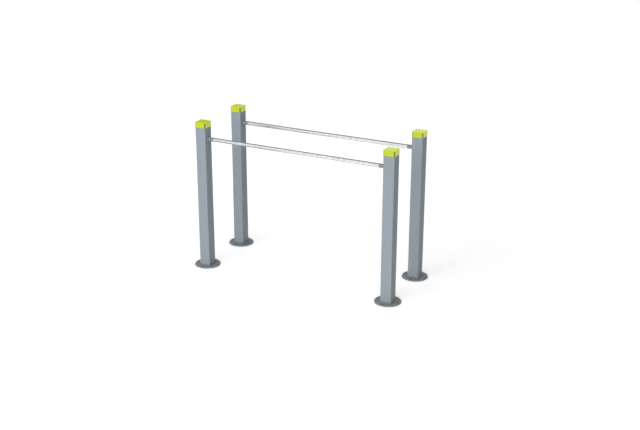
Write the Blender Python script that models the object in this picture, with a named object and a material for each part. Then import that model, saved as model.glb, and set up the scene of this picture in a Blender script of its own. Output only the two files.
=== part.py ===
"""Parallel dip bars for outdoor training, two free-standing frames of square posts and a round bar.

Metres, +Z up. X runs along the bars, -Y is the front, and the origin is on the ground under
the middle of the four posts.
"""

import math

import bmesh
import bpy
from mathutils import Matrix

# Layout of the four posts
POST_SPACING_X = 1.800  # between post centres, along the bars
POST_SPACING_Y = 0.600  # between post centres, across the bars
BAR_HEIGHT = 1.200  # ground to the bars' axis
POST_RISE = 0.155  # from the bars' axis to the top of the caps
OVERALL_HEIGHT = BAR_HEIGHT + POST_RISE

# Posts, square hollow section
POST_SIDE = 0.100
POST_WALL = 0.003
POST_CORNER_RADIUS = 0.0045
SMALLEST_RADIUS = 0.0005  # no corner of a square outline is sharper than this

# Base plates, round, welded under the posts
BASE_DIAMETER = 0.230
BASE_THICKNESS = 0.010
BASE_CHAMFER = 0.0008
ANCHOR_COUNT = 4
ANCHOR_EDGE_DISTANCE = 0.020  # from the plate's rim to a hole's centre
ANCHOR_HOLE_DIAMETER = 0.016
FOOT_WELD_LEG = 0.005

# Caps, moulded, one over each post top
CAP_HEIGHT = 0.050
CAP_PLATE_THICKNESS = 0.003
CAP_SKIRT_THICKNESS = 0.002
CAP_EDGE_RADIUS = 0.003
CAP_SLIT_WIDTH = 0.009  # how far each flap of the skirt stops short of the cap's corner
CAP_SLIT_LIP = 0.005  # how far below the top the corner slits end
CAP_FLAP_RADIUS = 0.006  # of each flap's lower corners
CAP_PLUG_DEPTH = 0.025
CAP_PLUG_WALL = 0.002
CAP_PLUG_CLEARANCE = 0.0005

# Bars, round tube, and the stubs of the same tube that carry them
BAR_DIAMETER = 0.035
BAR_WALL = 0.003
BAR_CHAMFER = 0.0006
STUB_LENGTH = 0.053
STUB_WELD_LEG = 0.004

# Spigots inside the stubs and bars, each held by a grub screw from below
SPIGOT_REACH = 0.060  # how far a spigot reaches into its bar
SPIGOT_CHAMFER = 0.001
SCREW_DIAMETER = 0.008
SCREW_LENGTH = 0.010
SCREW_SETBACK = 0.030  # from the bar's end to the screw's axis
SCREW_RECESS = 0.0012  # how far the screw's outer end sits inside the bar's surface
SCREW_CHAMFER = 0.0005
SOCKET_ACROSS_FLATS = 0.004
SOCKET_DEPTH = 0.004

# Clearance between neighbouring solids, also where a weld or a seat joins them
GAP = 0.0003

# Steps of the round shapes
CORNER_STEPS = 5
TUBE_STEPS = 40
PLATE_STEPS = 64
HOLE_STEPS = 20
SCREW_STEPS = 16
OVERCUT = 0.002  # how far a cutter runs past the surface it cuts

# Which sign of Y is each frame on, and which sign of X is each end
FRAMES = {"front": -1, "back": 1}
ENDS = {"left": -1, "right": 1}


def clear_scene():
    """Removes every object that the scene starts with."""
    for obj in list(bpy.data.objects):
        bpy.data.objects.remove(obj, do_unlink=True)


def finish(name, colour, roughness, metallic):
    """Makes a Principled material of one colour."""
    material = bpy.data.materials.new(name)
    material.use_nodes = True
    shader = material.node_tree.nodes["Principled BSDF"]
    shader.inputs["Base Color"].default_value = (*colour, 1.0)
    shader.inputs["Roughness"].default_value = roughness
    shader.inputs["Metallic"].default_value = metallic
    return material


def circle(radius, steps):
    """Points of a circle, as pairs."""
    angles = [2 * math.pi * step / steps for step in range(steps)]
    return [(radius * math.cos(angle), radius * math.sin(angle)) for angle in angles]


def rounded_square(side, radius):
    """Points of a square with round corners, as pairs, corner by corner."""
    radius = max(radius, SMALLEST_RADIUS)
    centre = side / 2 - radius
    points = []
    for quarter, (sx, sy) in enumerate(((1, 1), (-1, 1), (-1, -1), (1, -1))):
        for step in range(CORNER_STEPS + 1):
            angle = (quarter + step / CORNER_STEPS) * math.pi / 2
            points.append((sx * centre + radius * math.cos(angle), sy * centre + radius * math.sin(angle)))
    return points


def on_z(outline, z):
    """Lays an outline flat at height z."""
    return [(u, v, z) for u, v in outline]


def on_x(outline, x):
    """Stands an outline across the X axis at x."""
    return [(x, u, v) for u, v in outline]


def loft(name, rings, closed=False):
    """Skins a row of rings into a mesh: a closed row makes a tube, an open row gets flat ends."""
    shape = bmesh.new()
    loops = [[shape.verts.new(point) for point in ring] for ring in rings]
    count = len(loops[0])
    pairs = list(zip(loops, loops[1:]))
    if closed:
        pairs.append((loops[-1], loops[0]))
    else:
        shape.faces.new(loops[0])
        shape.faces.new(loops[-1])
    for first, second in pairs:
        for i in range(count):
            j = (i + 1) % count
            shape.faces.new((first[i], first[j], second[j], second[i]))
    bmesh.ops.recalc_face_normals(shape, faces=shape.faces[:])
    mesh = bpy.data.meshes.new(name)
    shape.to_mesh(mesh)
    shape.free()
    return mesh


def rod(name, radius, start, end, steps, chamfer=0.0):
    """A round solid along X from start to end."""
    rings = [on_x(circle(radius, steps), start + chamfer), on_x(circle(radius, steps), end - chamfer)]
    if chamfer:
        rings.insert(0, on_x(circle(radius - chamfer, steps), start))
        rings.append(on_x(circle(radius - chamfer, steps), end))
    return loft(name, rings)


def upright(mesh):
    """Turns a mesh made along X so that it runs along Z."""
    mesh.transform(Matrix.Rotation(-math.pi / 2, 4, "Y"))
    return mesh


def combine(mesh, others, operation):
    """Cuts other meshes out of a mesh, or joins them to it, and returns the result."""
    body = bpy.data.objects.new(mesh.name, mesh)
    bpy.context.collection.objects.link(body)
    helpers = []
    for other in others:
        helper = bpy.data.objects.new(f"{mesh.name}_{operation.lower()}", other)
        helper.hide_render = True
        helper.display_type = "WIRE"
        bpy.context.collection.objects.link(helper)
        helpers.append(helper)
        modifier = body.modifiers.new(operation.title(), "BOOLEAN")
        modifier.operation = operation
        modifier.solver = "EXACT"
        modifier.object = helper
    bpy.context.view_layer.update()
    evaluated = body.evaluated_get(bpy.context.evaluated_depsgraph_get())
    result = bpy.data.meshes.new_from_object(evaluated)
    result.name = mesh.name
    for helper in [body, *helpers]:
        bpy.data.objects.remove(helper, do_unlink=True)
    return result


def moved(mesh, x=0.0, y=0.0, z=0.0):
    """Shifts a mesh by x, y and z."""
    mesh.transform(Matrix.Translation((x, y, z)))
    return mesh


def smooth(mesh):
    """Shades a mesh smooth, apart from its sharp edges."""
    mesh.shade_smooth()
    mesh.set_sharp_from_angle(angle=math.radians(30))
    return mesh


def post_mesh():
    """A square tube from just above its base plate to just below the cap's plate."""
    bottom = BASE_THICKNESS + GAP
    top = OVERALL_HEIGHT - CAP_PLATE_THICKNESS - GAP
    outer = rounded_square(POST_SIDE, POST_CORNER_RADIUS)
    inner = rounded_square(POST_SIDE - 2 * POST_WALL, POST_CORNER_RADIUS - POST_WALL)
    rings = [on_z(outer, bottom), on_z(outer, top), on_z(inner, top), on_z(inner, bottom)]
    return smooth(loft("post", rings, closed=True))


def foot_weld_mesh():
    """The fillet of weld round a post's foot, sunk a little into the plate that it joins."""
    inner = rounded_square(POST_SIDE + 2 * GAP, POST_CORNER_RADIUS + GAP)
    outer = rounded_square(POST_SIDE + 2 * (GAP + FOOT_WELD_LEG), POST_CORNER_RADIUS + GAP + FOOT_WELD_LEG)
    sunk = BASE_THICKNESS / 2
    rings = [
        on_z(inner, sunk),
        on_z(outer, sunk),
        on_z(outer, BASE_THICKNESS + GAP),
        on_z(inner, BASE_THICKNESS + FOOT_WELD_LEG),
    ]
    return loft("foot_weld", rings, closed=True)


def base_plate_mesh():
    """A round plate with chamfered rims, anchor holes on the X and Y axes and the post's foot weld."""
    radius = BASE_DIAMETER / 2
    plate = upright(rod("base_plate", radius, 0, BASE_THICKNESS, PLATE_STEPS, BASE_CHAMFER))
    reach = radius - ANCHOR_EDGE_DISTANCE
    holes = []
    for number in range(ANCHOR_COUNT):
        angle = 2 * math.pi * number / ANCHOR_COUNT
        hole = upright(rod("anchor_hole", ANCHOR_HOLE_DIAMETER / 2, -OVERCUT, BASE_THICKNESS + OVERCUT, HOLE_STEPS))
        holes.append(moved(hole, reach * math.cos(angle), reach * math.sin(angle)))
    plate = combine(plate, holes, "DIFFERENCE")
    return smooth(combine(plate, [foot_weld_mesh()], "UNION"))


def cap_shell_mesh():
    """The outside of a cap as a solid block with a rounded top edge."""
    side = POST_SIDE + 2 * (GAP + CAP_SKIRT_THICKNESS)
    radius = POST_CORNER_RADIUS + GAP + CAP_SKIRT_THICKNESS
    rings = [on_z(rounded_square(side, radius), OVERALL_HEIGHT - CAP_HEIGHT)]
    for step in range(CORNER_STEPS + 1):
        angle = step / CORNER_STEPS * math.pi / 2
        inset = CAP_EDGE_RADIUS * (1 - math.cos(angle))
        height = OVERALL_HEIGHT - CAP_EDGE_RADIUS * (1 - math.sin(angle))
        rings.append(on_z(rounded_square(side - 2 * inset, radius - inset), height))
    return loft("cap", rings)


def cap_cavity_mesh():
    """The space inside a cap that the post's end fills."""
    outline = rounded_square(POST_SIDE + 2 * GAP, POST_CORNER_RADIUS + GAP)
    bottom = OVERALL_HEIGHT - CAP_HEIGHT - OVERCUT
    return loft("cap_cavity", [on_z(outline, bottom), on_z(outline, OVERALL_HEIGHT - CAP_PLATE_THICKNESS)])


def flap_end_outline():
    """Outline, as pairs along a flap and up, of what is cut away past the flap's end."""
    far = POST_SIDE / 2 + GAP + CAP_SKIRT_THICKNESS + OVERCUT
    edge = far - OVERCUT - CAP_SLIT_WIDTH
    rim = OVERALL_HEIGHT - CAP_HEIGHT
    top = OVERALL_HEIGHT - CAP_SLIT_LIP
    outline = [(far, rim - OVERCUT), (far, top), (edge, top)]
    for step in range(CORNER_STEPS + 1):
        angle = -step / CORNER_STEPS * math.pi / 2
        along = edge - CAP_FLAP_RADIUS * (1 - math.cos(angle))
        outline.append((along, rim + CAP_FLAP_RADIUS * (1 + math.sin(angle))))
    outline.append((edge - CAP_FLAP_RADIUS, rim - OVERCUT))
    return outline


def flap_end_meshes():
    """Cutters for both ends of the four flaps: together they open the cap's corner slits."""
    inside = POST_SIDE / 2
    outside = inside + GAP + CAP_SKIRT_THICKNESS + OVERCUT
    cutters = []
    for quarter in range(4):
        for end in (-1, 1):
            rings = [[(end * u, v, z) for u, z in flap_end_outline()] for v in (inside, outside)]
            cutter = loft("flap_end", rings)
            cutter.transform(Matrix.Rotation(quarter * math.pi / 2, 4, "Z"))
            cutters.append(cutter)
    return cutters


def cap_plug_mesh():
    """The square collar under a cap's plate that fits inside the post."""
    side = POST_SIDE - 2 * (POST_WALL + CAP_PLUG_CLEARANCE)
    radius = POST_CORNER_RADIUS - POST_WALL
    outer = rounded_square(side, radius)
    inner = rounded_square(side - 2 * CAP_PLUG_WALL, radius - CAP_PLUG_WALL)
    top = OVERALL_HEIGHT - CAP_PLATE_THICKNESS / 2
    bottom = OVERALL_HEIGHT - CAP_PLATE_THICKNESS - CAP_PLUG_DEPTH
    rings = [on_z(outer, bottom), on_z(outer, top), on_z(inner, top), on_z(inner, bottom)]
    return loft("cap_plug", rings, closed=True)


def cap_mesh():
    """A cap: a plate, four flaps outside the post and a plug inside it."""
    cap = combine(cap_shell_mesh(), [cap_cavity_mesh(), *flap_end_meshes()], "DIFFERENCE")
    return smooth(combine(cap, [cap_plug_mesh()], "UNION"))


def stub_mesh():
    """A short tube from the post's face, at x = 0, towards the bar, with its weld at the root."""
    outer = BAR_DIAMETER / 2
    inner = outer - BAR_WALL
    profile = [
        (GAP, inner),
        (GAP, outer + STUB_WELD_LEG),
        (GAP + STUB_WELD_LEG, outer),
        (STUB_LENGTH - BAR_CHAMFER, outer),
        (STUB_LENGTH, outer - BAR_CHAMFER),
        (STUB_LENGTH, inner),
    ]
    rings = [on_x(circle(radius, TUBE_STEPS), x) for x, radius in profile]
    return smooth(loft("stub", rings, closed=True))


def screw_hole_mesh(x, inner_radius):
    """The hole for a grub screw: from inner_radius out past the underside of the bar."""
    depth = BAR_DIAMETER / 2 + OVERCUT
    hole = upright(rod("screw_hole", SCREW_DIAMETER / 2 + GAP, -depth, -inner_radius, SCREW_STEPS))
    return moved(hole, x)


def bar_mesh():
    """A bar between two stubs, centred on x = 0, with a screw hole under each end."""
    half = POST_SPACING_X / 2 - POST_SIDE / 2 - STUB_LENGTH - GAP
    outer = BAR_DIAMETER / 2
    inner = outer - BAR_WALL
    profile = [
        (-half, inner),
        (-half, outer - BAR_CHAMFER),
        (BAR_CHAMFER - half, outer),
        (half - BAR_CHAMFER, outer),
        (half, outer - BAR_CHAMFER),
        (half, inner),
    ]
    rings = [on_x(circle(radius, TUBE_STEPS), x) for x, radius in profile]
    holes = [screw_hole_mesh(side * (half - SCREW_SETBACK), 0.0) for side in (-1, 1)]
    return smooth(combine(loft("bar", rings, closed=True), holes, "DIFFERENCE"))


def screw_x():
    """Where the screw's axis lies from the post's face."""
    return STUB_LENGTH + GAP + SCREW_SETBACK


def screw_tip_radius():
    """How far the screw's inner end lies from the bar's axis."""
    return BAR_DIAMETER / 2 - SCREW_RECESS - SCREW_LENGTH


def spigot_mesh():
    """A solid rod inside the stub and the bar's end, with a blind hole for the screw's tip."""
    radius = BAR_DIAMETER / 2 - BAR_WALL - GAP
    end = STUB_LENGTH + GAP + SPIGOT_REACH
    spigot = rod("spigot", radius, GAP, end, TUBE_STEPS, SPIGOT_CHAMFER)
    hole = screw_hole_mesh(screw_x(), screw_tip_radius() - GAP)
    return smooth(combine(spigot, [hole], "DIFFERENCE"))


def screw_mesh():
    """A grub screw along Z, its outer end down at z = 0, with a hexagon socket."""
    screw = upright(rod("screw", SCREW_DIAMETER / 2, 0, SCREW_LENGTH, SCREW_STEPS, SCREW_CHAMFER))
    socket_radius = SOCKET_ACROSS_FLATS / 2 / math.cos(math.pi / 6)
    socket = upright(rod("socket", socket_radius, -OVERCUT, SOCKET_DEPTH, 6))
    return smooth(combine(screw, [socket], "DIFFERENCE"))


def add(name, mesh, material, parent, x, z=0.0, turn=0.0):
    """Places one piece on its frame, turned about Z."""
    if not mesh.materials:
        mesh.materials.append(material)
    obj = bpy.data.objects.new(name, mesh)
    obj.parent = parent
    obj.location = (x, 0.0, z)
    obj.rotation_euler = (0.0, 0.0, turn)
    bpy.context.collection.objects.link(obj)
    return obj


def main():
    """Builds both frames from one set of shared meshes."""
    clear_scene()
    coat = finish("grey_blue_powder_coat", (0.33, 0.38, 0.42), 0.45, 0.0)
    lime = finish("lime_plastic", (0.66, 0.75, 0.03), 0.35, 0.0)
    zinc = finish("bright_zinc", (0.80, 0.81, 0.82), 0.3, 1.0)
    steel = finish("plain_steel", (0.45, 0.45, 0.46), 0.4, 1.0)

    post, plate, cap = post_mesh(), base_plate_mesh(), cap_mesh()
    stub, bar, spigot, screw = stub_mesh(), bar_mesh(), spigot_mesh(), screw_mesh()
    face = POST_SPACING_X / 2 - POST_SIDE / 2
    screw_end = BAR_HEIGHT - BAR_DIAMETER / 2 + SCREW_RECESS

    for frame_name, frame_sign in FRAMES.items():
        frame = bpy.data.objects.new(f"frame_{frame_name}", None)
        frame.location = (0.0, frame_sign * POST_SPACING_Y / 2, 0.0)
        bpy.context.collection.objects.link(frame)
        add(f"bar_{frame_name}", bar, zinc, frame, 0.0, BAR_HEIGHT)
        for end_name, end_sign in ENDS.items():
            where = f"{frame_name}_{end_name}"
            turn = 0.0 if end_sign < 0 else math.pi
            column = end_sign * POST_SPACING_X / 2
            add(f"base_plate_{where}", plate, coat, frame, column)
            add(f"post_{where}", post, coat, frame, column)
            add(f"cap_{where}", cap, lime, frame, column)
            add(f"stub_{where}", stub, coat, frame, end_sign * face, BAR_HEIGHT, turn)
            add(f"spigot_{where}", spigot, steel, frame, end_sign * face, BAR_HEIGHT, turn)
            add(f"grub_screw_{where}", screw, steel, frame, end_sign * (face - screw_x()), screw_end)


main()
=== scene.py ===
"""Looks of parallel dip bars for outdoor training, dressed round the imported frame.

Metres, +Z up, in the frame's own coordinates: X runs along the bars and -Y is the front.
Posts, plates, stubs, bars, spigots and screws are the frame's own solids with a new finish.
The caps are modelled here in full, and the weld beads at the feet and stubs are added.
"""

import logging
import math
from dataclasses import dataclass, field
from enum import Enum

import bmesh
import bpy
from mathutils import Matrix, Vector


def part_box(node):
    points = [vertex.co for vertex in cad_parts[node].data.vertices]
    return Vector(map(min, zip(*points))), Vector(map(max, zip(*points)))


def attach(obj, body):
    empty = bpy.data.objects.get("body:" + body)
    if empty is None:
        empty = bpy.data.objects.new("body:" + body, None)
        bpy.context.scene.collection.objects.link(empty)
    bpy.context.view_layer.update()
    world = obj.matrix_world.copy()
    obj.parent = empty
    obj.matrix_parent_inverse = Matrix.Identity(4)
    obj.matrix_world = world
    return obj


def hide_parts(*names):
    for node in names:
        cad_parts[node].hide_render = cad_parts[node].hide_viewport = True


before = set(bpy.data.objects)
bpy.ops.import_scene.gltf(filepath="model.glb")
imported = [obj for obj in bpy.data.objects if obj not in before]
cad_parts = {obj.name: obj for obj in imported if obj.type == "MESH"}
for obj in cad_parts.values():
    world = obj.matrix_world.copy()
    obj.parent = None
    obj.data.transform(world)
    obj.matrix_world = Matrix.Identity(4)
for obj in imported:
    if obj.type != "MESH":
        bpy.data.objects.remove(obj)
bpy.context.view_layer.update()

Colour = tuple[float, float, float]
Place = tuple[float, float, float]
Span = tuple[float, float]
Socket = bpy.types.NodeSocket
Term = Socket | float | str | Colour | None
Points = list[bmesh.types.BMVert]

BODY = "root"

# What the finishes and the floor take from the frame, which is the same in all four corners.
POST_LOW, POST_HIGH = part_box("post_back_right")
POST_X, POST_Y = (POST_LOW.x + POST_HIGH.x) / 2, (POST_LOW.y + POST_HIGH.y) / 2
POST_HALF = (POST_HIGH.x - POST_LOW.x) / 2
PLATE_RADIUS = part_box("base_plate_back_right")[1].x - POST_X
STUB_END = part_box("stub_back_right")[0].x
CAP_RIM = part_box("cap_back_right")[0].z

# The whole of a share, and the parts of it that a noise mostly stays in.
FULL: Span = (0.0, 1.0)
BROAD: Span = (0.3, 0.7)
MIDDLE: Span = (0.35, 0.65)

log = logging.getLogger("dip_bars")


class Row(Enum):
    """Which of the two frames a piece belongs to, as the frame's nodes spell it."""

    FRONT = "front"
    BACK = "back"


class End(Enum):
    """Which end of a frame a piece stands at, as its sign of X."""

    LEFT = -1
    RIGHT = 1


class Slot(Enum):
    """The record's material slots."""

    GREY_COAT = "grey_coat"
    LIME_PLASTIC = "lime_plastic"
    BRIGHT_ZINC = "bright_zinc"
    PLAIN_STEEL = "plain_steel"


class Detail(Enum):
    """How many finer layers a noise holds."""

    BARE = 0.0
    SOFT = 1.0
    BROKEN = 2.0
    CLOUDY = 3.0
    RAGGED = 4.0


@dataclass(frozen=True)
class Corner:
    """One of the four places where a post stands."""

    row: Row
    end: End

    @property
    def name(self) -> str:
        """The corner as the frame's nodes spell it."""
        return f"{self.row.value}_{self.end.name.lower()}"


class Wiring:
    """A node tree, with short calls for adding nodes and feeding their inputs."""

    GIVES_NUMBER = ("DISTANCE", "DOT_PRODUCT", "LENGTH")

    def __init__(self, tree: bpy.types.NodeTree) -> None:
        """Takes the tree that is wired."""
        self.tree = tree

    def add(self, kind: str, *terms: Term, **named: Term) -> bpy.types.Node:
        """Adds a node.

        Args:
            kind: The node's type name.
            terms: What its first inputs are fed with, in their order.
            named: Its settings, and what other inputs are fed with. An input goes by its identifier, with
                underscores for spaces. It begins with a capital, and a setting doesn't.

        Returns:
            The new node.
        """
        node = self.tree.nodes.new(kind)
        for key, setting in named.items():
            if key.islower():
                setattr(node, key, setting)
        inputs = {target.identifier.replace(" ", "_"): target for target in node.inputs}
        feeds = [(inputs[key], term) for key, term in named.items() if not key.islower()]
        for target, term in (*zip(node.inputs, terms), *feeds):
            self.feed(target, term)
        return node

    def feed(self, target: Socket, source: Term) -> None:
        """Links a socket into an input, or sets the input to a plain value.

        Args:
            target: The input.
            source: A socket, a number, a word or a colour, or None to leave the input as it is.
        """
        if isinstance(source, Socket):
            self.tree.links.new(source, target)
        elif isinstance(source, tuple) and target.type == "RGBA":
            target.default_value = (*source, 1.0)
        elif source is not None:
            target.default_value = source

    def vector(self, operation: str, *terms: Socket | Place) -> Socket:
        """Works out one step of vector arithmetic, by the Vector Math node's operation."""
        node = self.add("ShaderNodeVectorMath", *terms, operation=operation)
        return node.outputs["Value" if operation in self.GIVES_NUMBER else "Vector"]


class Bench(Wiring):
    """The tree of one material or world, with short calls for the nodes that the finishes share."""

    def __init__(self, owner: bpy.types.Material | bpy.types.World) -> None:
        """Clears the tree and looks up where on the surface, or which way in the world, a ray meets it.

        Args:
            owner: The material or world that is built.
        """
        owner.use_nodes = True
        super().__init__(owner.node_tree)
        self.owner = owner
        self.tree.nodes.clear()
        space = "Generated" if isinstance(owner, bpy.types.World) else "Object"
        self.place = self.add("ShaderNodeTexCoord").outputs[space]

    def sum(self, operation: str, first: Socket | float, second: Socket | float = 0.0) -> Socket:
        """Works out one step of arithmetic, by the Math node's operation."""
        return self.add("ShaderNodeMath", first, second, operation=operation).outputs[0]

    def axis(self, vector: Socket, letter: str) -> Socket:
        """One part of a vector."""
        return self.add("ShaderNodeSeparateXYZ", vector).outputs[letter]

    def remap(self, value: Socket, source: Span, target: Span) -> Socket:
        """Stretches a value from one range to another and stops it at the ends."""
        return self.add("ShaderNodeMapRange", value, *source, *target).outputs[0]

    def mirrored(self) -> Socket:
        """The surface's place as if every corner were the back right one."""
        return self.vector("ABSOLUTE", self.place)

    def along(self, letter: str, stretch: Span, shares: Span) -> Socket:
        """A share that changes along an axis, over a stretch of the back right corner."""
        return self.remap(self.axis(self.mirrored(), letter), stretch, shares)

    def from_axis(self, x: float = 0.0, y: float = 0.0) -> Socket:
        """How far the surface is from an upright axis, which stands at x and y from the post's."""
        flat = self.vector("MULTIPLY", self.mirrored(), (1.0, 1.0, 0.0))
        return self.vector("DISTANCE", flat, (POST_X + x, POST_Y + y, 0.0))

    def noise(self, size: float, detail: Detail = Detail.SOFT, where: Socket | None = None) -> Socket:
        """Noise from 0 to 1 at the surface or elsewhere, with lumps of a size in metres and finer layers."""
        node = self.add("ShaderNodeTexNoise", where or self.place, Scale=1.0 / size, Detail=detail.value)
        return node.outputs["Fac"]

    def streaks(self, x: float, y: float, z: float, detail: Detail = Detail.SOFT) -> Socket:
        """Noise whose lumps have a size of their own along each axis."""
        return self.noise(1.0, detail, self.vector("MULTIPLY", self.place, (1.0 / x, 1.0 / y, 1.0 / z)))

    def crystals(self, size: float, spread: float) -> Socket:
        """A grey value of its own for each cell of an irregular net with wavy seams.

        Args:
            size: The size of the cells in metres.
            spread: How far the seams wave, and how long their waves are.

        Returns:
            The cells' value.
        """
        wobble = self.add("ShaderNodeTexNoise", self.place, Scale=1.0 / spread).outputs["Color"]
        bent = self.vector("ADD", self.place, self.vector("MULTIPLY", wobble, (spread, spread, spread)))
        cells = self.add("ShaderNodeTexVoronoi", bent, Scale=1.0 / size)
        return self.add("ShaderNodeSeparateColor", cells.outputs["Color"]).outputs[0]

    def blend(self, share: Socket, first: Socket | Colour, second: Socket | Colour) -> Socket:
        """Mixes two colours, with this share of the second one."""
        return self.add("ShaderNodeMix", share, data_type="RGBA", A_Color=first, B_Color=second).outputs[2]

    def toned(self, colour: Socket, noise: Socket, tones: Span) -> Socket:
        """Makes a colour darker and lighter with a noise, by factors that range over these tones."""
        factor = self.remap(noise, BROAD, tones)
        return self.add("ShaderNodeVectorMath", colour, operation="SCALE", Scale=factor).outputs[0]

    def bump(self, height: Socket, depth: float, under: Socket | None = None) -> Socket:
        """Turns a height from 0 to 1 into a relief of a depth in metres, which can lie on another one."""
        return self.add("ShaderNodeBump", Distance=depth, Height=height, Normal=under).outputs["Normal"]

    def finish(self, **inputs: Term) -> bpy.types.Material:
        """Puts a Principled shader with these inputs on the material."""
        shader = self.add("ShaderNodeBsdfPrincipled", **inputs)
        return self.close("ShaderNodeOutputMaterial", shader.outputs[0])

    def tilt(self) -> Socket:
        """How far the surface faces up: 1 where it is level, 0 where it is upright and -1 on an underside."""
        return self.axis(self.add("ShaderNodeNewGeometry").outputs["Normal"], "Z")

    def seen(self) -> Socket:
        """Tells what the camera sees, itself or mirrored, from the light that surfaces receive.

        Returns:
            1 for what is seen and 0 for light.
        """
        rays = self.add("ShaderNodeLightPath").outputs
        mirrored = self.sum("MAXIMUM", rays["Is Glossy Ray"], rays["Is Transmission Ray"])
        return self.sum("MAXIMUM", rays["Is Camera Ray"], mirrored)

    def close(self, kind: str, surface: Socket) -> bpy.types.Material | bpy.types.World:
        """Ends the tree in its output node and gives back the finished material or world."""
        self.add(kind, Surface=surface)
        return self.owner


@dataclass(frozen=True)
class Finish:
    """What every finish has: a name, its slot in the record, and a material made once."""

    name: str
    slot: Slot

    def material(self) -> bpy.types.Material:
        """The finish's material, made when it is first asked for."""
        return bpy.data.materials.get(self.name) or self.make(Bench(bpy.data.materials.new(self.name)))

    def make(self, bench: Bench) -> bpy.types.Material:
        """Builds the material on an empty bench."""
        raise NotImplementedError


@dataclass(frozen=True)
class PowderCoat(Finish):
    """Satin grey-blue powder coat: orange peel, a fine grain, soft clouds and rain streaks.

    Dust lies on it near the ground. Painted shade, tinted lime as painted light, and dirt darken it under its
    cap.
    """

    name: str = "grey_powder_coat"
    slot: Slot = Slot.GREY_COAT
    cool: Colour = (0.330, 0.385, 0.440)
    warm: Colour = (0.330, 0.382, 0.410)
    cloud_size: float = 0.35
    streak_size: float = 0.012
    streak_length: float = 0.6
    streak_tones: Span = (0.975, 1.02)
    grain_size: float = 0.0009
    grain_depth: float = 0.00001
    grain_tones: Span = (0.95, 1.04)
    peel_size: float = 0.0030
    peel_depth: float = 0.00005
    dust: Colour = (0.360, 0.385, 0.375)
    dust_size: float = 0.030
    dust_heights: Span = (0.0, 0.22)
    dust_shares: Span = (0.45, 0.0)
    dust_range: Span = (0.35, 0.7)
    dust_patches: Span = (0.2, 1.0)
    # Painted shade and dirt under the cap and just below its rim, tinted lime as painted light through the
    # plastic.
    shade_and_dirt: Colour = (0.120, 0.140, 0.035)
    shade_and_dirt_heights: Span = (CAP_RIM - 0.002, CAP_RIM + 0.007)
    shade_and_dirt_amount: float = 0.85
    satin: Span = (0.50, 0.62)
    gloss: float = 0.30

    def colour(self, bench: Bench) -> Socket:
        """The coat's colour over the surface.

        Args:
            bench: The material that is built.

        Returns:
            The colour.
        """
        cloud = bench.remap(bench.noise(self.cloud_size, Detail.CLOUDY), MIDDLE, FULL)
        coat = bench.blend(cloud, self.cool, self.warm)
        streaks = bench.streaks(self.streak_size, self.streak_size, self.streak_length, Detail.BROKEN)
        coat = bench.toned(coat, streaks, self.streak_tones)
        coat = bench.toned(coat, bench.noise(self.grain_size), self.grain_tones)
        coat = bench.blend(self.dusted(bench), coat, self.dust)
        # Painted shade, tinted lime as painted light, and dirt under and just below the cap.
        shaded_and_dirty = bench.along("Z", self.shade_and_dirt_heights, (0.0, self.shade_and_dirt_amount))
        return bench.blend(shaded_and_dirty, coat, self.shade_and_dirt)

    def dusted(self, bench: Bench) -> Socket:
        """How much dust lies on the surface, most of it near the ground."""
        patches = bench.remap(bench.noise(self.dust_size, Detail.RAGGED), self.dust_range, self.dust_patches)
        return bench.sum("MULTIPLY", bench.along("Z", self.dust_heights, self.dust_shares), patches)

    def relief(self, bench: Bench) -> Socket:
        """Orange peel with a fine grain on it."""
        peel = bench.bump(bench.noise(self.peel_size), self.peel_depth)
        return bench.bump(bench.noise(self.grain_size, Detail.BARE), self.grain_depth, peel)

    def make(self, bench: Bench) -> bpy.types.Material:
        """Builds the coat on an empty bench."""
        return bench.finish(
            Base_Color=self.colour(bench),
            Roughness=bench.remap(bench.noise(self.dust_size, Detail.CLOUDY), BROAD, self.satin),
            Specular_IOR_Level=self.gloss,
            Normal=self.relief(bench),
        )


@dataclass(frozen=True)
class StubCoat(PowderCoat):
    """The same coat on a stub and its weld, darker as painted shade, and painted shade and dirt at the bar.
    """

    name: str = "grey_powder_coat_stub"
    # Darker than the posts' coat, as painted shade.
    cool: Colour = (0.270, 0.320, 0.365)
    warm: Colour = (0.275, 0.320, 0.345)
    grain_size: float = 0.0007
    cloud_size: float = 0.04
    # Painted shade and dirt where the bar meets the stub.
    joint_shade_and_dirt: Colour = (0.085, 0.090, 0.085)
    joint_width: float = 0.006
    joint_share: float = 0.80

    def colour(self, bench: Bench) -> Socket:
        """The coat with painted shade and dirt where the bar meets the stub."""
        # Painted shade and dirt where the bar meets the stub.
        shaded_and_dirty = bench.along("X", (STUB_END, STUB_END + self.joint_width), (self.joint_share, 0.0))
        return bench.blend(shaded_and_dirty, super().colour(bench), self.joint_shade_and_dirt)


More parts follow.
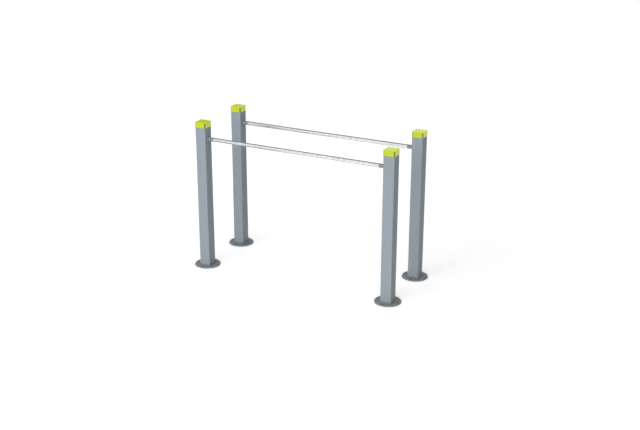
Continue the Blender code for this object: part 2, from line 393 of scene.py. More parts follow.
@dataclass(frozen=True)
class PlateCoat(PowderCoat):
    """The same coat on a base plate: darker as painted shade, worn bright at its rim, dark at holes and post.
    """

    name: str = "grey_powder_coat_plate"
    # Darker than the posts' coat, as painted shade.
    cool: Colour = (0.256, 0.303, 0.337)
    warm: Colour = (0.265, 0.303, 0.316)
    patch_size: float = 0.006
    wear: Colour = (0.40, 0.45, 0.48)
    wear_width: float = 0.0022
    wear_share: float = 0.6
    wear_range: Span = (0.45, 0.6)
    # Dirt round the anchor holes, and painted shade in their bores and round the post's foot.
    dirt_and_shade: Colour = (0.085, 0.095, 0.095)
    dirt_width: float = 0.007
    dirt_share: float = 0.45
    dirt_patches: Span = (0.3, 1.0)
    hole_circle: float = 0.095
    hole_radius: float = 0.008
    bore_shade_margin: float = 0.0003
    foot_width: float = 0.022
    foot_shade_share: float = 0.55
    foot_patches: Span = (0.6, 1.0)

    def from_post(self, bench: Bench) -> Socket:
        """How far the surface is from the post's axis, measured square as the post is."""
        steps = bench.vector("ABSOLUTE", bench.vector("SUBTRACT", bench.mirrored(), (POST_X, POST_Y, 0.0)))
        return bench.sum("MAXIMUM", bench.axis(steps, "X"), bench.axis(steps, "Y"))

    def colour(self, bench: Bench) -> Socket:
        """The coat with its wear, dirt and painted shade.

        Args:
            bench: The material that is built.

        Returns:
            The colour.
        """
        coat = super().colour(bench)
        rough = bench.noise(self.patch_size, Detail.CLOUDY)
        rim = bench.remap(bench.from_axis(), (PLATE_RADIUS - self.wear_width, PLATE_RADIUS), FULL)
        worn = bench.sum("MULTIPLY", rim, bench.remap(rough, self.wear_range, (0.0, self.wear_share)))
        coat = bench.blend(worn, coat, self.wear)
        patches = bench.remap(rough, MIDDLE, self.dirt_patches)
        for x, y in ((1, 0), (-1, 0), (0, 1), (0, -1)):
            away = bench.from_axis(x * self.hole_circle, y * self.hole_circle)
            reach = (self.hole_radius, self.hole_radius + self.dirt_width)
            darkened = bench.sum("MULTIPLY", bench.remap(away, reach, (self.dirt_share, 0.0)), patches)
            # Painted shade fills each anchor hole's bore.
            bore_shade = bench.sum("LESS_THAN", away, self.hole_radius + self.bore_shade_margin)
            coat = bench.blend(bench.sum("MAXIMUM", darkened, bore_shade), coat, self.dirt_and_shade)
        # Painted shade and dirt round the post's foot.
        reach = (POST_HALF, POST_HALF + self.foot_width)
        foot = bench.remap(self.from_post(bench), reach, (self.foot_shade_share, 0.0))
        darkened = bench.sum("MULTIPLY", foot, bench.remap(rough, MIDDLE, self.foot_patches))
        return bench.blend(darkened, coat, self.dirt_and_shade)


@dataclass(frozen=True)
class LimePlastic(Finish):
    """Moulded lime plastic: slightly glossy, finely textured, scuffed, with a painted reflection where it
    faces up.

    It glows a little in its own colour: painted light that keeps its shaded sides almost as bright as its lit
    ones.
    """

    name: str = "lime_plastic_moulded"
    slot: Slot = Slot.LIME_PLASTIC
    lime: Colour = (0.325, 0.365, 0.005)
    deep: Colour = (0.300, 0.345, 0.004)
    cloud_size: float = 0.030
    # Painted light: the caps glow in their own colour.
    glow: Colour = (0.83, 1.0, 0.02)
    painted_glow_strength: float = 0.33
    # Painted reflection: paler where the surface faces up.
    painted_top_light: Colour = (0.540, 0.620, 0.006)
    painted_top_light_tilt: Span = (0.3, 0.9)
    painted_top_light_share: float = 0.7
    grain_size: float = 0.0006
    grain_depth: float = 0.00004
    grain_tones: Span = (0.95, 1.03)
    sink_size: float = 0.022
    sink_depth: float = 0.00025
    gloss: Span = (0.22, 0.32)
    scuff: Colour = (0.560, 0.620, 0.140)
    scuff_width: float = 0.0006
    scuff_length: float = 0.016
    scuff_range: Span = (0.66, 0.76)
    scuff_share: float = 0.5
    scuff_dullness: float = 0.25
    scuff_patch: float = 0.020
    patch_range: Span = (0.45, 0.60)
    rim_dirt: Colour = (0.160, 0.180, 0.020)
    rim_reach: float = 0.006
    rim_share: float = 0.40

    def scuffed(self, bench: Bench) -> Socket:
        """Where fine scuffs cross the surface both ways.

        Args:
            bench: The material that is built.

        Returns:
            The scuffs, from 0 to 1.
        """
        thin, long = self.scuff_width, self.scuff_length
        crossed = bench.sum("MAXIMUM", bench.streaks(thin, long, long), bench.streaks(long, thin, long))
        patches = bench.remap(bench.noise(self.scuff_patch, Detail.BROKEN), self.patch_range, FULL)
        return bench.sum("MULTIPLY", bench.remap(crossed, self.scuff_range, FULL), patches)

    def make(self, bench: Bench) -> bpy.types.Material:
        """Builds the plastic.

        Args:
            bench: An empty material to build on.

        Returns:
            The finished material.
        """
        cloud = bench.remap(bench.noise(self.cloud_size, Detail.CLOUDY), MIDDLE, FULL)
        colour = bench.blend(cloud, self.lime, self.deep)
        # Painted reflection: paler where the surface faces up.
        top_lit = bench.remap(bench.tilt(), self.painted_top_light_tilt, (0.0, self.painted_top_light_share))
        colour = bench.blend(top_lit, colour, self.painted_top_light)
        scuffs = self.scuffed(bench)
        colour = bench.blend(bench.sum("MULTIPLY", scuffs, self.scuff_share), colour, self.scuff)
        darkened = bench.along("Z", (CAP_RIM, CAP_RIM + self.rim_reach), (self.rim_share, 0.0))
        colour = bench.blend(bench.sum("MULTIPLY", darkened, cloud), colour, self.rim_dirt)
        grain = bench.noise(self.grain_size)
        sheen = bench.remap(cloud, FULL, self.gloss)
        sinks = bench.bump(bench.noise(self.sink_size), self.sink_depth)
        return bench.finish(
            Base_Color=bench.toned(colour, grain, self.grain_tones),
            Roughness=bench.sum("ADD", sheen, bench.sum("MULTIPLY", scuffs, self.scuff_dullness)),
            Normal=bench.bump(grain, self.grain_depth, sinks),
            # Painted light: the caps glow in their own colour.
            Emission_Color=self.glow,
            Emission_Strength=self.painted_glow_strength,
        )


@dataclass(frozen=True)
class BrightZinc(Finish):
    """Bright zinc on tube: pale crystals, fine polishing lines round it, and a painted dark reflection top
    and bottom.
    """

    name: str = "bright_zinc_tube"
    slot: Slot = Slot.BRIGHT_ZINC
    light: Colour = (0.98, 0.985, 0.99)
    dark: Colour = (0.74, 0.745, 0.755)
    crystal_size: float = 0.008
    crystal_spread: float = 0.006
    crystal_share: float = 0.45
    cloud_size: float = 0.045
    tone_range: Span = (0.32, 0.68)
    line_width: float = 0.00035
    line_length: float = 1 / 30
    line_depth: float = 0.000004
    line_tones: Span = (0.96, 1.02)
    polish: Span = (0.16, 0.28)
    # Painted dark reflection along the bar's top and underside, broken into patches.
    painted_reflection_dark: Colour = (0.32, 0.325, 0.33)
    painted_reflection_patches: Span = (0.85, 1.0)
    painted_crown_tilt: Span = (0.68, 0.90)
    painted_crown_share: float = 0.70
    painted_underside_tilt: Span = (-0.40, -0.66)
    painted_underside_share: float = 0.95
    # Painted shade and dirt on the bar's last millimetres at the stub.
    shade_and_dirt: Colour = (0.14, 0.15, 0.15)
    joint_width: float = 0.003
    joint_share: float = 0.70

    def make(self, bench: Bench) -> bpy.types.Material:
        """Builds the zinc.

        Args:
            bench: An empty material to build on.

        Returns:
            The finished material.
        """
        crystal = bench.crystals(self.crystal_size, self.crystal_spread)
        cloud = bench.noise(self.cloud_size, Detail.CLOUDY)
        crystal_part = bench.sum("MULTIPLY", crystal, self.crystal_share)
        mixed = bench.sum("ADD", crystal_part, bench.sum("MULTIPLY", cloud, 1.0 - self.crystal_share))
        colour = bench.blend(bench.remap(mixed, self.tone_range, FULL), self.light, self.dark)
        # Painted dark reflection: darker on the top and the underside, by which way the surface faces.
        above = bench.remap(bench.tilt(), self.painted_crown_tilt, (0.0, self.painted_crown_share))
        below = bench.remap(bench.tilt(), self.painted_underside_tilt, (0.0, self.painted_underside_share))
        patches = bench.remap(cloud, MIDDLE, self.painted_reflection_patches)
        painted_reflection_share = bench.sum("MULTIPLY", bench.sum("ADD", above, below), patches)
        colour = bench.blend(painted_reflection_share, colour, self.painted_reflection_dark)
        # Painted shade and dirt on the bar's last millimetres at the stub.
        shaded_and_dirty = bench.along("X", (STUB_END - self.joint_width, STUB_END), (0.0, self.joint_share))
        colour = bench.blend(shaded_and_dirty, colour, self.shade_and_dirt)
        lines = bench.streaks(self.line_width, self.line_length, self.line_length)
        return bench.finish(
            Base_Color=bench.toned(colour, lines, self.line_tones),
            Metallic=1.0,
            Roughness=bench.remap(mixed, BROAD, self.polish),
            Normal=bench.bump(lines, self.line_depth),
        )


@dataclass(frozen=True)
class TurnedSteel(Finish):
    """Turned steel: fine tool marks round the rod and a thin brownish oil film."""

    name: str = "turned_steel"
    slot: Slot = Slot.PLAIN_STEEL
    bright: Colour = (0.50, 0.50, 0.51)
    oiled: Colour = (0.36, 0.34, 0.31)
    mark_width: float = 0.00025
    mark_length: float = 1 / 60
    mark_depth: float = 0.00001
    mark_tones: Span = (0.9, 1.05)
    film_size: float = 0.008
    film_range: Span = (0.4, 0.65)
    film_shares: Span = (0.0, 0.8)
    polish: Span = (0.32, 0.50)

    def make(self, bench: Bench) -> bpy.types.Material:
        """Builds the steel.

        Args:
            bench: An empty material to build on.

        Returns:
            The finished material.
        """
        marks = bench.streaks(self.mark_width, self.mark_length, self.mark_length)
        film = bench.remap(bench.noise(self.film_size, Detail.CLOUDY), self.film_range, self.film_shares)
        colour = bench.blend(film, self.bright, self.oiled)
        return bench.finish(
            Base_Color=bench.toned(colour, marks, self.mark_tones),
            Metallic=1.0,
            Roughness=bench.remap(film, self.film_shares, self.polish),
            Normal=bench.bump(marks, self.mark_depth),
        )


@dataclass(frozen=True)
class SmoothShading:
    """Shades one of the frame's faceted solids smooth between its sharp edges."""

    name: str = "smooth_between_edges"
    edge_angle: float = math.radians(30)
    join_reach: float = 0.00001

    def group(self) -> bpy.types.NodeTree:
        """Joins split corners, forgets the facets' own normals and marks the sharp edges.

        Returns:
            The node group that does so, made once.
        """
        known = bpy.data.node_groups.get(self.name)
        if known:
            return known
        wiring = Wiring(bpy.data.node_groups.new(self.name, "GeometryNodeTree"))
        for way in ("INPUT", "OUTPUT"):
            wiring.tree.interface.new_socket("Geometry", in_out=way, socket_type="NodeSocketGeometry")
        start = wiring.add("NodeGroupInput")
        join = wiring.add("GeometryNodeMergeByDistance", Distance=self.join_reach)
        forget = wiring.add("GeometryNodeRemoveAttribute", Name="custom_normal")
        soft = wiring.add("GeometryNodeSetShadeSmooth")
        angle = wiring.add("GeometryNodeInputMeshEdgeAngle").outputs["Unsigned Angle"]
        steep = wiring.add("FunctionNodeCompare", angle, self.edge_angle).outputs[0]
        hard = wiring.add("GeometryNodeSetShadeSmooth", domain="EDGE", Selection=steep, Shade_Smooth=False)
        last = self.last_steps(wiring, start.outputs[0])
        chain = (start, join, forget, soft, hard, *last, wiring.add("NodeGroupOutput"))
        for before, after in zip(chain, chain[1:]):
            wiring.feed(after.inputs[0], before.outputs[0])
        return wiring.tree

    def last_steps(self, wiring: Wiring, mesh: Socket) -> list[bpy.types.Node]:
        """The nodes that the mesh passes through after its sharp edges are marked: none for most solids."""
        return []

    def apply(self, obj: bpy.types.Object) -> None:
        """Adds the shading to an object as modifiers."""
        obj.modifiers.new("smooth", "NODES").node_group = self.group()
        obj.modifiers.new("even_normals", "WEIGHTED_NORMAL").keep_sharp = True


@dataclass(frozen=True)
class TubeShading(SmoothShading):
    """The same for a tube along X, whose round faces reflect as a true cylinder's, also beside a hole."""

    name: str = "smooth_tube"
    roundness: float = 0.95

    def last_steps(self, wiring: Wiring, mesh: Socket) -> list[bpy.types.Node]:
        """Turns the round faces' normals straight away from the tube's axis, or inside it towards the axis.

        Args:
            wiring: The group that is built.
            mesh: The mesh as it comes in.

        Returns:
            The node that sets the normals.
        """
        box = wiring.add("GeometryNodeBoundBox", mesh)
        both = wiring.vector("ADD", box.outputs["Min"], box.outputs["Max"])
        middle = wiring.vector("MULTIPLY", both, (0.5, 0.5, 0.5))
        place = wiring.add("GeometryNodeInputPosition").outputs[0]
        across = wiring.vector("MULTIPLY", wiring.vector("SUBTRACT", place, middle), (0.0, 1.0, 1.0))
        away = wiring.vector("NORMALIZE", across)
        normal = wiring.add("GeometryNodeInputNormal").outputs
        face = wiring.add(
            "GeometryNodeFieldOnDomain", normal["True Normal"], data_type="FLOAT_VECTOR", domain="FACE"
        )
        facing = wiring.vector("DOT_PRODUCT", face.outputs[0], away)
        alignment = wiring.vector("ABSOLUTE", facing)
        is_round = wiring.add("FunctionNodeCompare", alignment, self.roundness).outputs[0]
        radial = wiring.vector("MULTIPLY", away, wiring.vector("SIGN", facing))
        pick = wiring.add("GeometryNodeSwitch", is_round, normal["Normal"], radial, input_type="VECTOR")
        put = wiring.add("GeometryNodeSetMeshNormal", None, pick.outputs[0], mode="FREE", domain="CORNER")
        return [put]

    def apply(self, obj: bpy.types.Object) -> None:
        """Adds the shading to a tube as a modifier."""
        obj.modifiers.new("smooth", "NODES").node_group = self.group()


def add_object(name: str, data: bpy.types.ID) -> bpy.types.Object:
    """Puts a new object into the scene.

    Args:
        name: The object's name.
        data: Its mesh, lamp or camera.

    Returns:
        The new object.
    """
    obj = bpy.data.objects.new(name, data)
    bpy.context.scene.collection.objects.link(obj)
    return obj


def quarter_turn(steps: int) -> list[float]:
    """The angles from 0 to a right angle in even steps."""
    return [step / steps * math.pi / 2 for step in range(steps + 1)]


def skin_rows(shape: bmesh.types.BMesh, rows: list[Points]) -> None:
    """Skins rows of points that run all the way round, each one to the next.

    Args:
        shape: The shape that holds the points.
        rows: The rows, with as many points each.
    """
    for upper, lower in zip(rows, rows[1:]):
        for i in range(len(upper)):
            j = (i + 1) % len(upper)
            shape.faces.new((upper[i], lower[i], lower[j], upper[j]))


@dataclass
class SubAssembly:
    """What every sub-assembly can do with its pieces."""

    def dress(self, node: str, finish: Finish, shading: SmoothShading = SmoothShading()) -> None:
        """Gives one of the frame's own solids its finish and smooth shading.

        Args:
            node: The node's name.
            finish: Its finish.
            shading: How its facets are smoothed.
        """
        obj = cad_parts[node]
        for slot in obj.material_slots:
            slot.material = finish.material()
        shading.apply(obj)
        log.info("%s: the frame's solid in %s", node, finish.name)

    def show(self, name: str, shape: bmesh.types.BMesh, finish: Finish, *stands_for: str) -> bpy.types.Object:
        """Adds a piece that is modelled here.

        Args:
            name: The piece's name.
            shape: Its shape, which is freed.
            finish: Its finish.
            stands_for: The frame's nodes that it replaces.

        Returns:
            The new object.
        """
        mesh = bpy.data.meshes.new(name)
        shape.to_mesh(mesh)
        shape.free()
        mesh.shade_smooth()
        mesh.materials.append(finish.material())
        obj = add_object(name, mesh)
        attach(obj, BODY)
        if stands_for:
            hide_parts(*stands_for)
        log.info("%s: %d points in %s", name, len(mesh.vertices), finish.name)
        return obj


@dataclass(frozen=True)
class SpinePoint:
    """A point of the line where two surfaces meet, the way out from it, and how far along it lies."""

    place: Vector
    outward: Vector
    along: float


@dataclass(frozen=True)
class WeldBead:
    """A rippled bead of weld in the corner between two surfaces.

    Its size wanders by two waves, a slow and a fast one, which share the wander. Where a ripple has risen to
    crest_mean, the bead is as thick as if it had no ripples.
    """

    leg: float = 0.0060
    ripple_pitch: float = 0.0042
    ripple_depth: float = 0.11
    crest_mean: float = 0.6
    hollow: float = 0.10
    wander: float = 0.04
    wander_length: float = 0.037
    slow_share: float = 0.6
    fast_share: float = 0.4
    fast_rate: float = 2.7
    fast_start: float = 1.3
    lag: float = 0.35
    bite: float = 0.0004
    steps_per_ripple: int = 6
    profile_steps: int = 8

    def stations(self, length: float) -> int:
        """How many sections a bead of this length has."""
        return round(length / self.ripple_pitch) * self.steps_per_ripple

    def radius(self, along: float, angle: float) -> float:
        """How far the bead's surface is from the corner that it fills.

        Args:
            along: How far along the bead, in ripples.
            angle: From 0 on the first surface to a right angle on the second.

        Returns:
            The distance in metres.
        """
        bulge = math.sin(2 * angle)
        turn = 2 * math.pi * along * self.ripple_pitch / self.wander_length
        fast = self.fast_share * math.sin(self.fast_rate * turn + self.fast_start)
        swell = 1 + self.wander * (self.slow_share * math.sin(turn) + fast)
        crest = abs(math.sin(math.pi * (along - self.lag * bulge))) - self.crest_mean
        return self.leg * swell * (1 - self.hollow * bulge) * (1 + self.ripple_depth * bulge * crest)

    def shape(self, spine: list[SpinePoint], up: Vector) -> bmesh.types.BMesh:
        """Builds the bead along a closed line.

        Args:
            spine: The line.
            up: The way from the first surface along the second.

        Returns:
            The bead as one closed shape.
        """
        shape = bmesh.new()
        rings = []
        ripples = len(spine) / self.steps_per_ripple
        for point in spine:
            place, out, along = point.place, point.outward, point.along * ripples
            ring = [place - (out + up) * self.bite, place + out * self.radius(along, 0.0) - up * self.bite]
            for angle in quarter_turn(self.profile_steps):
                way = out * math.cos(angle) + up * math.sin(angle)
                ring.append(place + way * self.radius(along, angle))
            ring.append(place + up * self.radius(along, math.pi / 2) - out * self.bite)
            rings.append([shape.verts.new(spot) for spot in ring])
        skin_rows(shape, rings + rings[:1])
        bmesh.ops.recalc_face_normals(shape, faces=shape.faces[:])
        return shape


@dataclass
class Post(SubAssembly):
    """A post with its base plate and the weld that joins them."""

    corner: Corner
    coat: PowderCoat
    plate_coat: PlateCoat
    weld: WeldBead
    corner_radius: float = 0.0045
    plate_thickness: float = 0.010

    def foot_spine(self) -> list[SpinePoint]:
        """The line round the post where it stands on its plate.

        Returns:
            The line's points.
        """
        low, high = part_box(f"post_{self.corner.name}")
        centre, half = (low + high) / 2, (high.x - low.x) / 2
        straight = 2 * (half - self.corner_radius)
        arc = self.corner_radius * math.pi / 2
        length = 4 * (straight + arc)
        count = self.weld.stations(length)
        spine = []
        for number in range(count):
            quarter, along = divmod(number / count * length, straight + arc)
            if along < straight:
                flat, outward = Vector((half, along - straight / 2, 0)), Vector((1, 0, 0))
            else:
                angle = (along - straight) / self.corner_radius
                outward = Vector((math.cos(angle), math.sin(angle), 0))
                flat = Vector((straight / 2, straight / 2, 0)) + outward * self.corner_radius
            turn = Matrix.Rotation(quarter * math.pi / 2, 3, "Z")
            place = turn @ flat + Vector((centre.x, centre.y, self.plate_thickness))
            spine.append(SpinePoint(place, turn @ outward, number / count))
        return spine

    def build(self) -> None:
        """Dresses the post and the plate and lays the weld."""
        name = self.corner.name
        self.dress(f"post_{name}", self.coat)
        self.dress(f"base_plate_{name}", self.plate_coat)
        bead = self.weld.shape(self.foot_spine(), Vector((0, 0, 1)))
        self.show(f"foot_weld_{name}", bead, self.plate_coat)


@dataclass(frozen=True)
class Station:
    """One column of the cap's skin: its place on the outline, its way out, and its flap's lift above the rim.

    In a corner slit, where no flap hangs, lift is None.
    """

    place: Vector
    outward: Vector
    lift: float | None


@dataclass
class Cap(SubAssembly):
    """A moulded cap: a crowned plate, four flaps with round lower corners, and a plug inside the post.

    The crown's rows are shares of the way from the middle, and the plug tapers below its straight share.
    """

    corner: Corner
    plastic: LimePlastic
    corner_radius: float = 0.0068
    wall: float = 0.0019
    edge_radius: float = 0.0030
    crown: float = 0.0008
    crown_rows: tuple[float, ...] = (0.15, 0.3, 0.45, 0.6, 0.75, 0.88, 0.96)
    draft: float = 0.0002
    slit_width: float = 0.009
    slit_lip: float = 0.005
    flap_radius: float = 0.006
    plug_side: float = 0.093
    plug_depth: float = 0.025
    plug_straight: float = 0.8
    plug_taper: float = 0.0015
    rim_round: float = 0.0004
    rim_segments: int = 2
    rim_angle: float = math.radians(50)
    arc_steps: int = 8
    flap_steps: int = 24
    skirt_steps: int = 3
    drop_steps: int = 14
    centre: Vector = field(init=False)
    half: float = field(init=False)
    rim: float = field(init=False)
    top: float = field(init=False)

    def __post_init__(self) -> None:
        """Reads the cap's place and size from the frame."""
        low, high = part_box(f"cap_{self.corner.name}")
        self.centre = Vector(((low.x + high.x) / 2, (low.y + high.y) / 2, 0))
        self.half = (high.x - low.x) / 2
        self.rim = low.z
        self.top = high.z

    def side(self) -> list[Station]:
        """The columns of the flap that faces +X, from its -Y end, and of the slit after it.

        Returns:
            The columns, in their order round the cap.
        """
        edge = self.half - self.slit_width
        flat = edge - self.flap_radius
        bend, radius = quarter_turn(self.arc_steps), self.flap_radius
        rounding = [(flat + radius * math.sin(angle), radius * (1 - math.cos(angle))) for angle in bend]
        middle = [(flat * (2 * step / self.flap_steps - 1), 0.0) for step in range(1, self.flap_steps)]
        columns = [(-u, lift) for u, lift in reversed(rounding)] + middle + rounding
        out = Vector((1, 0, 0))
        stations = [Station(Vector((self.half, u, 0)), out, lift) for u, lift in columns]
        pivot = self.half - self.corner_radius
        for angle in bend:
            way = Vector((math.cos(angle), math.sin(angle), 0))
            stations.append(Station(Vector((pivot, pivot, 0)) + way * self.corner_radius, way, None))
        return stations

    def stations(self) -> list[Station]:
        """All columns round the cap, which are one side's, turned to all four sides."""
        turns = [Matrix.Rotation(quarter * math.pi / 2, 3, "Z") for quarter in range(4)]
        return [Station(turn @ s.place, turn @ s.outward, s.lift) for turn in turns for s in self.side()]

    def inset(self, z: float) -> float:
        """How far the draft of the mould draws the skirt in at a height."""
        return self.draft * (z - self.rim) / (self.top - self.rim)

    def point(self, station: Station, inset: float, z: float, scale: float = 1.0) -> Vector:
        """A point of a column, at this inset from the outline and height, and at a share of the way out."""
        flat = (station.place - station.outward * inset) * scale
        return self.centre + Vector((flat.x, flat.y, z))

    def levels(self) -> list[tuple[float, ...]]:
        """The rows of the skin that run all the way round: crown, rounded edge and the skirt above the slits.

        Returns:
            What point() takes for each row, from the crown down.
        """
        shoulder = self.top - self.crown
        inset = self.edge_radius + self.inset(shoulder)
        found = [(inset, self.top - self.crown * share * share, share) for share in self.crown_rows]
        for angle in quarter_turn(self.arc_steps):
            height = shoulder - self.edge_radius * (1 - math.cos(angle))
            found.append((self.inset(height) + self.edge_radius * (1 - math.sin(angle)), height))
        start, lip = shoulder - self.edge_radius, self.top - self.slit_lip
        for step in range(1, self.skirt_steps + 1):
            height = start + (lip - start) * step / self.skirt_steps
            found.append((self.inset(height), height))
        return found

    def skin(self) -> bmesh.types.BMesh:
        """Models the cap's outer skin and its plug's.

        Returns:
            Both as open sheets that a modifier gives their wall.
        """
        shape = bmesh.new()
        stations = self.stations()
        rows = [[shape.verts.new(self.point(s, *level)) for s in stations] for level in self.levels()]
        middle = shape.verts.new(self.centre + Vector((0, 0, self.top)))
        for first, second in zip(rows[0], rows[0][1:] + rows[0][:1]):
            shape.faces.new((middle, first, second))
        skin_rows(shape, rows)
        self.hang_flaps(shape, stations, rows[-1])
        self.add_plug(shape)
        return shape

    def hang_flaps(self, shape: bmesh.types.BMesh, stations: list[Station], lip: Points) -> None:
        """Adds the flaps below the slits' upper ends.

        Args:
            shape: The shape that is built.
            stations: Its columns.
            lip: The lowest row that runs all the way round.
        """
        start = self.top - self.slit_lip
        before = None
        for station, first in zip(stations, lip):
            if station.lift is None:
                before = None
                continue
            bottom = self.rim + station.lift
            column = [first]
            for step in range(1, self.drop_steps + 1):
                height = start + (bottom - start) * step / self.drop_steps
                column.append(shape.verts.new(self.point(station, self.inset(height), height)))
            if before:
                for i in range(self.drop_steps):
                    shape.faces.new((before[i], before[i + 1], column[i + 1], column[i]))
            before = column

    def add_plug(self, shape: bmesh.types.BMesh) -> None:
        """Adds the square collar that the cap's plate carries inside the post.

        Args:
            shape: The shape that is built.
        """
        top = self.top - self.crown - self.wall / 2
        rows = []
        for taper, share in ((0.0, 0.0), (0.0, self.plug_straight), (self.plug_taper, 1.0)):
            reach, z = self.plug_side / 2 - taper, top - self.plug_depth * share
            corners = ((reach, -reach), (reach, reach), (-reach, reach), (-reach, -reach))
            rows.append([shape.verts.new(self.centre + Vector((x, y, z))) for x, y in corners])
        skin_rows(shape, rows)

    def build(self) -> None:
        """Models the cap in place of the frame's plain one."""
        name = f"cap_{self.corner.name}"
        obj = self.show(f"moulded_{name}", self.skin(), self.plastic, name)
        wall = obj.modifiers.new("wall", "SOLIDIFY")
        wall.thickness = self.wall
        wall.offset = -1.0
        wall.use_even_offset = True
        rounding = obj.modifiers.new("rounding", "BEVEL")
        rounding.width = self.rim_round
        rounding.segments = self.rim_segments
        rounding.limit_method = "ANGLE"
        rounding.angle_limit = self.rim_angle
        obj.modifiers.new("even_normals", "WEIGHTED_NORMAL")


@dataclass
class BarRun(SubAssembly):
    """A bar with the stubs, spigots and screws that hold it, and the welds at the stubs' roots."""

    row: Row
    coat: StubCoat
    zinc: BrightZinc
    steel: TurnedSteel
    weld: WeldBead

    def root_spine(self, corner: Corner) -> list[SpinePoint]:
        """The line round a stub where it meets its post.

        Args:
            corner: Where the post stands.

        Returns:
            The line's points.
        """
        post_low, post_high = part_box(f"post_{corner.name}")
        bar_low, bar_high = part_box(f"bar_{corner.row.value}")
        face = post_high.x if corner.end is End.LEFT else post_low.x
        middle = (bar_low + bar_high) / 2
        radius = (bar_high.z - bar_low.z) / 2
        count = self.weld.stations(2 * math.pi * radius)
        spine = []
        for number in range(count):
            angle = 2 * math.pi * number / count
            outward = Vector((0, math.cos(angle), math.sin(angle)))
            place = Vector((face, middle.y, middle.z)) + outward * radius
            spine.append(SpinePoint(place, outward, number / count))
        return spine

    def build(self) -> None:
        """Dresses the bar and both of its ends."""
        self.dress(f"bar_{self.row.value}", self.zinc, TubeShading())
        for end in End:
            corner = Corner(self.row, end)
            self.dress(f"stub_{corner.name}", self.coat)
            self.dress(f"spigot_{corner.name}", self.steel)
            self.dress(f"grub_screw_{corner.name}", self.steel)
            bead = self.weld.shape(self.root_spine(corner), Vector((-end.value, 0, 0)))
            self.show(f"stub_weld_{corner.name}", bead, self.coat)


@dataclass(frozen=True)
class PhotoCamera:
    """The camera at the photograph's place, with its angles in radians and its focal length in pixels."""

    place: Place = (4.3446, -8.3500, 4.0314)
    yaw: float = -0.4703
    pitch: float = 0.3559
    roll: float = 0.0026
    focal_pixels: float = 1128.4
    picture_width: int = 640
    sensor_width: float = 36.0

    def build(self) -> None:
        """Adds the camera and makes it the scene's."""
        level = math.cos(self.pitch)
        forward = Vector((math.sin(self.yaw) * level, math.cos(self.yaw) * level, -math.sin(self.pitch)))
        right = Vector((math.cos(self.yaw), -math.sin(self.yaw), 0.0))
        up = right.cross(forward)
        turn = Matrix((right, up, -forward)).transposed() @ Matrix.Rotation(self.roll, 3, "Z")
        data = bpy.data.cameras.new("photo_camera")
        data.sensor_width = self.sensor_width
        data.lens = self.focal_pixels / self.picture_width * self.sensor_width
        camera = add_object("photo_camera", data)
        camera.matrix_world = Matrix.Translation(self.place) @ turn.to_4x4()
        bpy.context.scene.camera = camera


@dataclass(frozen=True)
class Softbox:
    """A soft rectangular lamp that no surface mirrors."""

    name: str
    place: Place
    aim: Place
    width: float
    height: float
    watts: float

    def build(self) -> None:
        """Hangs the lamp and turns it to what it lights."""
        data = bpy.data.lights.new(self.name, "AREA")
        data.shape = "RECTANGLE"
        data.size = self.width
        data.size_y = self.height
        data.energy = self.watts
        lamp = add_object(self.name, data)
        lamp.location = self.place
        lamp.rotation_euler = (Vector(self.aim) - Vector(self.place)).to_track_quat("-Z", "Y").to_euler()
        lamp.visible_glossy = False
        lamp.visible_camera = False


@dataclass(frozen=True)
class MirrorCard:
    """A grey studio card that shows only in what mirrors it, swept from its first edge."""

    name: str
    edge: tuple[Place, ...]
    sweep: Place
    grey: float

    def build(self) -> None:
        """Hangs the card."""
        bench = Bench(bpy.data.materials.new(self.name))
        glow = bench.add("ShaderNodeEmission", Strength=self.grey)
        near = [Vector(point) for point in self.edge]
        far = [point + Vector(self.sweep) for point in near]
        count = len(near)
        faces = [(i, i + 1, count + i + 1, count + i) for i in range(count - 1)]
        mesh = bpy.data.meshes.new(self.name)
        mesh.from_pydata(near + far, [], faces)
        mesh.materials.append(bench.close("ShaderNodeOutputMaterial", glow.outputs[0]))
        card = add_object(self.name, mesh)
        for ray in ("camera", "diffuse", "transmission", "volume_scatter", "shadow"):
            setattr(card, f"visible_{ray}", False)


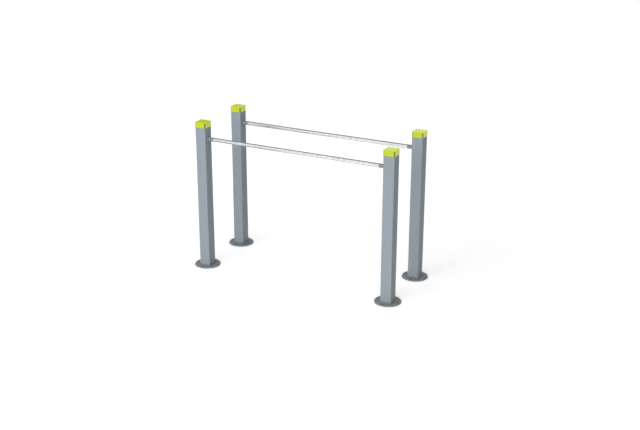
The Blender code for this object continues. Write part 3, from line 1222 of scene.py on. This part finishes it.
@dataclass(frozen=True)
class Studio:
    """A pale floor, a white backdrop, soft lamps, and grey cards that show only in what mirrors them.

    The lights' strengths and the cards' greys make the object about as bright as in the photograph.
    """

    floor_radius: float = 40.0
    ring_steps: int = 96
    floor_paint: Span = (0.882, 0.90)
    speckle_size: float = 0.4
    floor_glow: float = 0.54
    floor_fade: Span = (2.2, 5.0)
    rim_shade: Span = (PLATE_RADIUS - 0.002, PLATE_RADIUS + 0.009)
    sky: Span = (0.06, 0.0258)
    washes: tuple[tuple[Place, float], ...] = (
        ((-0.15, -0.95, 0.25), 2.15),
        ((-0.45, 0.88, 0.15), 0.25),
        ((0.5, -0.2, 0.84), 0.55),
    )
    wash_focus: float = 4.0
    white: float = 1.0
    lamps: tuple[Softbox, ...] = (
        Softbox("key_softbox", (-0.3, -5.2, 2.4), (0.1, 0.0, 0.7), 3.6, 2.4, 50.0),
        Softbox("rear_softbox", (-3.2, 3.6, 1.3), (0.0, 0.0, 0.7), 3.0, 2.0, 45.0),
    )
    cards: tuple[MirrorCard, ...] = (
        MirrorCard("rear_card", ((-16.0, 9.0, 1.6), (-5.9, 9.0, 1.6)), (0.0, 0.0, 5.4), 0.04),
        MirrorCard("ceiling_card", ((-14.0, -2.4, 6.0), (10.0, -2.4, 6.0)), (0.0, 8.9, 0.0), 0.45),
        MirrorCard("left_floor_card", ((-5.0, -2.4, 0.004), (-0.8, -2.4, 0.004)), (0.0, 2.3, 0.0), 0.53),
        MirrorCard("right_floor_card", ((-0.8, -2.4, 0.004), (4.0, -2.4, 0.004)), (0.0, 2.3, 0.0), 0.99),
        MirrorCard("front_card", ((-5.0, -2.8, 1.8), (-1.7, -2.8, 1.8)), (0.0, 0.0, 1.2), 0.70),
    )
    horizon_radius: float = 15.0
    horizon_low: float = 0.2
    horizon_height: float = 2.4
    horizon_grey: float = 0.64

    def floor_material(self) -> bpy.types.Material:
        """Makes matt white paint that the camera sees as a white backdrop, with the object's shadow on it.

        Under the base plates the paint has no glow, so that a painted shadow shows round their rims as a dark
        line.

        Returns:
            The paint's material.
        """
        bench = Bench(bpy.data.materials.new("studio_floor"))
        seen = bench.seen()
        far = bench.remap(bench.vector("LENGTH", bench.place), self.floor_fade, FULL)
        kept = bench.sum("SUBTRACT", 1.0, bench.sum("MULTIPLY", far, seen))
        speckle = bench.remap(bench.noise(self.speckle_size, Detail.CLOUDY), BROAD, self.floor_paint)
        paint = bench.add("ShaderNodeBsdfDiffuse", bench.sum("MULTIPLY", speckle, kept))
        # The glow fades towards the plates' rims: a painted shadow round them.
        lit = bench.sum("MULTIPLY", seen, bench.remap(bench.from_axis(), self.rim_shade, FULL))
        strength = bench.remap(far, FULL, (self.floor_glow, self.white))
        glow = bench.add("ShaderNodeEmission", Strength=bench.sum("MULTIPLY", lit, strength))
        both = bench.add("ShaderNodeAddShader", paint.outputs[0], glow.outputs[0])
        return bench.close("ShaderNodeOutputMaterial", both.outputs[0])

    def lay_floor(self) -> None:
        """Lays a round floor under the object."""
        shape = bmesh.new()
        bmesh.ops.create_circle(shape, cap_ends=True, segments=self.ring_steps, radius=self.floor_radius)
        mesh = bpy.data.meshes.new("floor")
        shape.to_mesh(mesh)
        shape.free()
        mesh.materials.append(self.floor_material())
        floor = add_object("floor", mesh)

    def hang_sky(self) -> None:
        """Makes a white world that lights softly, most from the front left, then from above on the right."""
        bench = Bench(bpy.data.worlds.new("studio"))
        light = bench.remap(bench.axis(bench.place, "X"), FULL, self.sky)
        for way, wash in self.washes:
            facing = bench.vector("DOT_PRODUCT", bench.place, tuple(Vector(way).normalized()))
            towards = bench.sum("POWER", bench.sum("MAXIMUM", facing), self.wash_focus)
            light = bench.sum("ADD", light, bench.sum("MULTIPLY", towards, wash))
        strength = bench.add("ShaderNodeMix", bench.seen(), A_Float=light, B_Float=self.white)
        sky = bench.add("ShaderNodeBackground", (1.0, 1.0, 1.0), strength.outputs[0])
        bpy.context.scene.world = bench.close("ShaderNodeOutputWorld", sky.outputs[0])

    def build(self) -> None:
        """Sets up everything round the object, and bends one card all the way round it."""
        self.lay_floor()
        self.hang_sky()
        radius, low = self.horizon_radius, self.horizon_low
        turns = [2 * math.pi * step / self.ring_steps for step in range(self.ring_steps + 1)]
        ring = tuple((radius * math.cos(turn), radius * math.sin(turn), low) for turn in turns)
        horizon = MirrorCard("horizon_card", ring, (0.0, 0.0, self.horizon_height), self.horizon_grey)
        for prop in (*self.lamps, *self.cards, horizon):
            prop.build()


def main() -> None:
    """Dresses both frames and sets up the studio."""
    logging.basicConfig(level=logging.INFO, format="%(name)s: %(message)s")
    coat, plate_coat, plastic = PowderCoat(), PlateCoat(), LimePlastic()
    foot_weld, stub_weld = WeldBead(), WeldBead(leg=0.0048, ripple_pitch=0.0036)
    for row in Row:
        for end in End:
            corner = Corner(row, end)
            Post(corner, coat, plate_coat, foot_weld).build()
            Cap(corner, plastic).build()
        BarRun(row, StubCoat(), BrightZinc(), TurnedSteel(), stub_weld).build()
    Studio().build()
    PhotoCamera().build()
    bpy.context.scene.view_settings.view_transform = "Standard"


if __name__ == "__main__":
    main()
